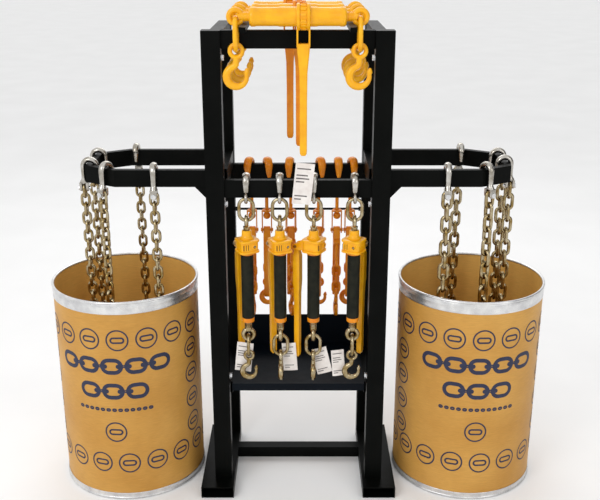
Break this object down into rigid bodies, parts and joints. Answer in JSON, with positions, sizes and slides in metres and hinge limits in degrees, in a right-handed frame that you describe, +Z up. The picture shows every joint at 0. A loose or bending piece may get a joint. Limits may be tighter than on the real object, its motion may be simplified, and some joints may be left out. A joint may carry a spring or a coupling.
{
  "type": "chain and load binder display rack",
  "caption": "Free-standing steel display rack: hook arms hang chains into fibre drums, and bars carry ratchet and lever load binders above a shelf.",
  "frame": {"origin": "on the floor, under the middle of the overall box", "axes": "+X to the viewer's right along the hanger bars, +Y from front to back, +Z up"},
  "size_m": [1.6646, 0.4906, 1.631],
  "materials": {
    "black_powder_coat": "semi-gloss",
    "navy_powder_coat": "satin",
    "bright_zinc": "bright zinc plate",
    "fibreboard": "waxed kraft fibreboard",
    "galvanised_band": "galvanised",
    "rubber_grip": "matt",
    "yellow_paint": "gloss",
    "orange_paint": "gloss",
    "gold_zinc": "yellow chromate zinc"
  },
  "bodies": {
    "stand": {"posts": "black_powder_coat", "side_rails": "black_powder_coat", "feet": "black_powder_coat", "cross_bars": "black_powder_coat", "front_hanger_bar": "black_powder_coat", "rear_hanger_bar": "black_powder_coat", "hook_arms": "black_powder_coat", "display_shelf": "navy_powder_coat", "frame_bolts": "bright_zinc", "drum_shells": "fibreboard", "drum_top_rims": "galvanised_band", "drum_base_rims": "galvanised_band", "chain_heaps": "gold_zinc", "chain_hooks": "gold_zinc", "clevis_pins": "bright_zinc", "ratchet_binder_hooks": "gold_zinc", "lever_binder_hooks": "orange_paint", "top_binder_barrels": "orange_paint"},
    "left_chain_1": {"left_chain_1": "gold_zinc"},
    "left_chain_2": {"left_chain_2": "gold_zinc"},
    "left_chain_3": {"left_chain_3": "gold_zinc"},
    "left_chain_4": {"left_chain_4": "gold_zinc"},
    "left_chain_5": {"left_chain_5": "gold_zinc"},
    "right_chain_1": {"right_chain_1": "gold_zinc"},
    "right_chain_2": {"right_chain_2": "gold_zinc"},
    "right_chain_3": {"right_chain_3": "gold_zinc"},
    "right_chain_4": {"right_chain_4": "gold_zinc"},
    "right_chain_5": {"right_chain_5": "gold_zinc"},
    "ratchet_1_upper_screw": {"ratchet_1_upper_screw": "gold_zinc"},
    "ratchet_1_head": {"ratchet_1_head": "yellow_paint"},
    "ratchet_1_handle": {"ratchet_1_handle": "yellow_paint"},
    "ratchet_1_barrel": {"ratchet_1_barrel": "rubber_grip"},
    "ratchet_1_lower_screw": {"ratchet_1_lower_screw": "gold_zinc"},
    "ratchet_1_lower_hook": {"ratchet_1_lower_hook": "gold_zinc"},
    "ratchet_2_upper_screw": {"ratchet_2_upper_screw": "gold_zinc"},
    "ratchet_2_head": {"ratchet_2_head": "yellow_paint"},
    "ratchet_2_handle": {"ratchet_2_handle": "yellow_paint"},
    "ratchet_2_barrel": {"ratchet_2_barrel": "rubber_grip"},
    "ratchet_2_lower_screw": {"ratchet_2_lower_screw": "gold_zinc"},
    "ratchet_2_lower_hook": {"ratchet_2_lower_hook": "gold_zinc"},
    "ratchet_3_upper_screw": {"ratchet_3_upper_screw": "gold_zinc"},
    "ratchet_3_head": {"ratchet_3_head": "yellow_paint"},
    "ratchet_3_handle": {"ratchet_3_handle": "yellow_paint"},
    "ratchet_3_barrel": {"ratchet_3_barrel": "rubber_grip"},
    "ratchet_3_lower_screw": {"ratchet_3_lower_screw": "gold_zinc"},
    "ratchet_3_lower_hook": {"ratchet_3_lower_hook": "gold_zinc"},
    "ratchet_4_upper_screw": {"ratchet_4_upper_screw": "gold_zinc"},
    "ratchet_4_head": {"ratchet_4_head": "yellow_paint"},
    "ratchet_4_handle": {"ratchet_4_handle": "yellow_paint"},
    "ratchet_4_barrel": {"ratchet_4_barrel": "rubber_grip"},
    "ratchet_4_lower_screw": {"ratchet_4_lower_screw": "gold_zinc"},
    "ratchet_4_lower_hook": {"ratchet_4_lower_hook": "gold_zinc"},
    "lever_binder_1": {"lever_binder_1": "orange_paint"},
    "lever_binder_2": {"lever_binder_2": "orange_paint"},
    "lever_binder_3": {"lever_binder_3": "orange_paint"},
    "lever_binder_4": {"lever_binder_4": "orange_paint"},
    "lever_binder_5": {"lever_binder_5": "orange_paint"},
    "lever_binder_6": {"lever_binder_6": "orange_paint"},
    "top_handle_1": {"top_handle_1": "yellow_paint"},
    "top_handle_2": {"top_handle_2": "yellow_paint"},
    "top_handle_3": {"top_handle_3": "yellow_paint"}
  },
  "joints": [
    {"name": "left_chain_1_swing", "type": "hinge", "parent": "stand", "child": "left_chain_1", "pos_m": [-0.6855, -0.065, 1.048], "axis": [1, 0, 0], "range_deg": [-2.5, 2.5]},
    {"name": "left_chain_2_swing", "type": "hinge", "parent": "stand", "child": "left_chain_2", "pos_m": [-0.6855, 0.07, 1.048], "axis": [1, 0, 0], "range_deg": [-2.5, 2.5]},
    {"name": "left_chain_3_swing", "type": "hinge", "parent": "stand", "child": "left_chain_3", "pos_m": [-0.61106, -0.14184, 1.048], "axis": [0.5145, 0.8575, 0], "range_deg": [-2.5, 2.5]},
    {"name": "left_chain_4_swing", "type": "hinge", "parent": "stand", "child": "left_chain_4", "pos_m": [-0.448, -0.1635, 1.048], "axis": [0, 1, 0], "range_deg": [-0.3, 2.5]},
    {"name": "left_chain_5_swing", "type": "hinge", "parent": "stand", "child": "left_chain_5", "pos_m": [-0.55, 0.1635, 1.048], "axis": [0, -1, 0], "range_deg": [-2.5, 2.5]},
    {"name": "right_chain_1_swing", "type": "hinge", "parent": "stand", "child": "right_chain_1", "pos_m": [0.465, -0.1635, 1.048], "axis": [0, 1, 0], "range_deg": [-2.5, 1.2]},
    {"name": "right_chain_2_swing", "type": "hinge", "parent": "stand", "child": "right_chain_2", "pos_m": [0.552, 0.1635, 1.048], "axis": [0, -1, 0], "range_deg": [-2.5, 2.5]},
    {"name": "right_chain_3_swing", "type": "hinge", "parent": "stand", "child": "right_chain_3", "pos_m": [0.59906, -0.14904, 1.048], "axis": [-0.5145, 0.8575, 0], "range_deg": [-2.5, 2.5]},
    {"name": "right_chain_4_swing", "type": "hinge", "parent": "stand", "child": "right_chain_4", "pos_m": [0.6855, 0.07, 1.048], "axis": [-1, 0, 0], "range_deg": [-2.5, 1.5]},
    {"name": "right_chain_5_swing", "type": "hinge", "parent": "stand", "child": "right_chain_5", "pos_m": [0.6855, -0.035, 1.048], "axis": [-1, 0, 0], "range_deg": [-1.5, 2.5]},
    {"name": "ratchet_1_swing", "type": "hinge", "parent": "stand", "child": "ratchet_1_upper_screw", "pos_m": [-0.161, -0.184, 1.0436], "axis": [-1, 0, 0], "range_deg": [-0.5, 3]},
    {"name": "ratchet_1_head_ratchet", "type": "hinge", "parent": "ratchet_1_upper_screw", "child": "ratchet_1_head", "pos_m": [-0.161, -0.184, 0.894], "axis": [0, 0, 1], "range_deg": [-8, 2]},
    {"name": "ratchet_1_handle_fold", "type": "hinge", "parent": "ratchet_1_head", "child": "ratchet_1_handle", "pos_m": [-0.18823, -0.13279, 0.884], "axis": [0.8829, 0.4695, 0], "range_deg": [0, 25]},
    {"name": "ratchet_1_barrel_turn", "type": "hinge", "parent": "ratchet_1_upper_screw", "child": "ratchet_1_barrel", "pos_m": [-0.161, -0.184, 0.78], "axis": [0, 0, 1], "range_deg": [0, 6760]},
    {"name": "ratchet_1_take_up", "type": "slide", "parent": "ratchet_1_upper_screw", "child": "ratchet_1_lower_screw", "axis": [0, 0, -1], "range_m": [0, 0.15]},
    {"name": "ratchet_1_hook_swing", "type": "hinge", "parent": "ratchet_1_lower_screw", "child": "ratchet_1_lower_hook", "pos_m": [-0.161, -0.184, 0.5841], "axis": [0, 1, 0], "range_deg": [-15, 10]},
    {"name": "ratchet_2_swing", "type": "hinge", "parent": "stand", "child": "ratchet_2_upper_screw", "pos_m": [-0.057, -0.184, 1.0436], "axis": [-1, 0, 0], "range_deg": [-0.5, 8]},
    {"name": "ratchet_2_head_ratchet", "type": "hinge", "parent": "ratchet_2_upper_screw", "child": "ratchet_2_head", "pos_m": [-0.057, -0.184, 0.894], "axis": [0, 0, 1], "range_deg": [-8, 8]},
    {"name": "ratchet_2_handle_fold", "type": "hinge", "parent": "ratchet_2_head", "child": "ratchet_2_handle", "pos_m": [-0.08243, -0.13187, 0.884], "axis": [0.8988, 0.4384, 0], "range_deg": [0, 25]},
    {"name": "ratchet_2_barrel_turn", "type": "hinge", "parent": "ratchet_2_upper_screw", "child": "ratchet_2_barrel", "pos_m": [-0.057, -0.184, 0.78], "axis": [0, 0, 1], "range_deg": [0, 6760]},
    {"name": "ratchet_2_take_up", "type": "slide", "parent": "ratchet_2_upper_screw", "child": "ratchet_2_lower_screw", "axis": [0, 0, -1], "range_m": [0, 0.15]},
    {"name": "ratchet_2_hook_swing", "type": "hinge", "parent": "ratchet_2_lower_screw", "child": "ratchet_2_lower_hook", "pos_m": [-0.057, -0.184, 0.5841], "axis": [-1, 0, 0], "range_deg": [-3, 15]},
    {"name": "ratchet_3_swing", "type": "hinge", "parent": "stand", "child": "ratchet_3_upper_screw", "pos_m": [0.049, -0.184, 1.0436], "axis": [-1, 0, 0], "range_deg": [-0.5, 3]},
    {"name": "ratchet_3_head_ratchet", "type": "hinge", "parent": "ratchet_3_upper_screw", "child": "ratchet_3_head", "pos_m": [0.049, -0.184, 0.894], "axis": [0, 0, 1], "range_deg": [-8, 0]},
    {"name": "ratchet_3_handle_fold", "type": "hinge", "parent": "ratchet_3_head", "child": "ratchet_3_handle", "pos_m": [-0.00221, -0.15677, 0.884], "axis": [0.4695, 0.8829, 0], "range_deg": [0, 6]},
    {"name": "ratchet_3_barrel_turn", "type": "hinge", "parent": "ratchet_3_upper_screw", "child": "ratchet_3_barrel", "pos_m": [0.049, -0.184, 0.78], "axis": [0, 0, 1], "range_deg": [0, 6760]},
    {"name": "ratchet_3_take_up", "type": "slide", "parent": "ratchet_3_upper_screw", "child": "ratchet_3_lower_screw", "axis": [0, 0, -1], "range_m": [0, 0.15]},
    {"name": "ratchet_3_hook_swing", "type": "hinge", "parent": "ratchet_3_lower_screw", "child": "ratchet_3_lower_hook", "pos_m": [0.049, -0.184, 0.5841], "axis": [-1, 0, 0], "range_deg": [-3, 15]},
    {"name": "ratchet_4_swing", "type": "hinge", "parent": "stand", "child": "ratchet_4_upper_screw", "pos_m": [0.176, -0.184, 1.0436], "axis": [-1, 0, 0], "range_deg": [-0.5, 1]},
    {"name": "ratchet_4_head_ratchet", "type": "hinge", "parent": "ratchet_4_upper_screw", "child": "ratchet_4_head", "pos_m": [0.176, -0.184, 0.894], "axis": [0, 0, 1], "range_deg": [0, 8]},
    {"name": "ratchet_4_handle_fold", "type": "hinge", "parent": "ratchet_4_head", "child": "ratchet_4_handle", "pos_m": [0.205, -0.13377, 0.884], "axis": [0.866, -0.5, 0], "range_deg": [0, 25]},
    {"name": "ratchet_4_barrel_turn", "type": "hinge", "parent": "ratchet_4_upper_screw", "child": "ratchet_4_barrel", "pos_m": [0.176, -0.184, 0.78], "axis": [0, 0, 1], "range_deg": [0, 6760]},
    {"name": "ratchet_4_take_up", "type": "slide", "parent": "ratchet_4_upper_screw", "child": "ratchet_4_lower_screw", "axis": [0, 0, -1], "range_m": [0, 0.15]},
    {"name": "ratchet_4_hook_swing", "type": "hinge", "parent": "ratchet_4_lower_screw", "child": "ratchet_4_lower_hook", "pos_m": [0.176, -0.184, 0.5841], "axis": [0, 1, 0], "range_deg": [-7, 15]},
    {"name": "lever_binder_1_swing", "type": "hinge", "parent": "stand", "child": "lever_binder_1", "pos_m": [-0.162, 0.1565, 0.888], "axis": [-1, 0, 0], "range_deg": [-4, 6]},
    {"name": "lever_binder_2_swing", "type": "hinge", "parent": "stand", "child": "lever_binder_2", "pos_m": [-0.11, 0.1565, 0.888], "axis": [-1, 0, 0], "range_deg": [-4, 6]},
    {"name": "lever_binder_3_swing", "type": "hinge", "parent": "stand", "child": "lever_binder_3", "pos_m": [-0.026, 0.1565, 0.888], "axis": [-0.9781, -0.2079, 0], "range_deg": [-4, 6]},
    {"name": "lever_binder_4_swing", "type": "hinge", "parent": "stand", "child": "lever_binder_4", "pos_m": [0.071, 0.1565, 0.888], "axis": [-0.9781, 0.2079, 0], "range_deg": [-4, 6]},
    {"name": "lever_binder_5_swing", "type": "hinge", "parent": "stand", "child": "lever_binder_5", "pos_m": [0.135, 0.1565, 0.888], "axis": [-1, 0, 0], "range_deg": [-4, 6]},
    {"name": "lever_binder_6_swing", "type": "hinge", "parent": "stand", "child": "lever_binder_6", "pos_m": [0.18, 0.1565, 0.888], "axis": [-1, 0, 0], "range_deg": [-4, 6]},
    {"name": "top_handle_1_swing", "type": "hinge", "parent": "stand", "child": "top_handle_1", "pos_m": [0.016, -0.2, 1.592], "axis": [-1, 0, 0], "range_deg": [0, 75]},
    {"name": "top_handle_2_swing", "type": "hinge", "parent": "stand", "child": "top_handle_2", "pos_m": [0.004, -0.06, 1.592], "axis": [1, 0, 0], "range_deg": [-12, 16]},
    {"name": "top_handle_3_swing", "type": "hinge", "parent": "stand", "child": "top_handle_3", "pos_m": [-0.026, 0.06, 1.592], "axis": [1, 0, 0], "range_deg": [-2, 45]}
  ],
  "couplings": [
    {"joint": "ratchet_1_barrel_turn", "follows": "ratchet_1_take_up", "rad_per_m": 785.4},
    {"joint": "ratchet_2_barrel_turn", "follows": "ratchet_2_take_up", "rad_per_m": 785.4},
    {"joint": "ratchet_3_barrel_turn", "follows": "ratchet_3_take_up", "rad_per_m": 785.4},
    {"joint": "ratchet_4_barrel_turn", "follows": "ratchet_4_take_up", "rad_per_m": 785.4}
  ]
}
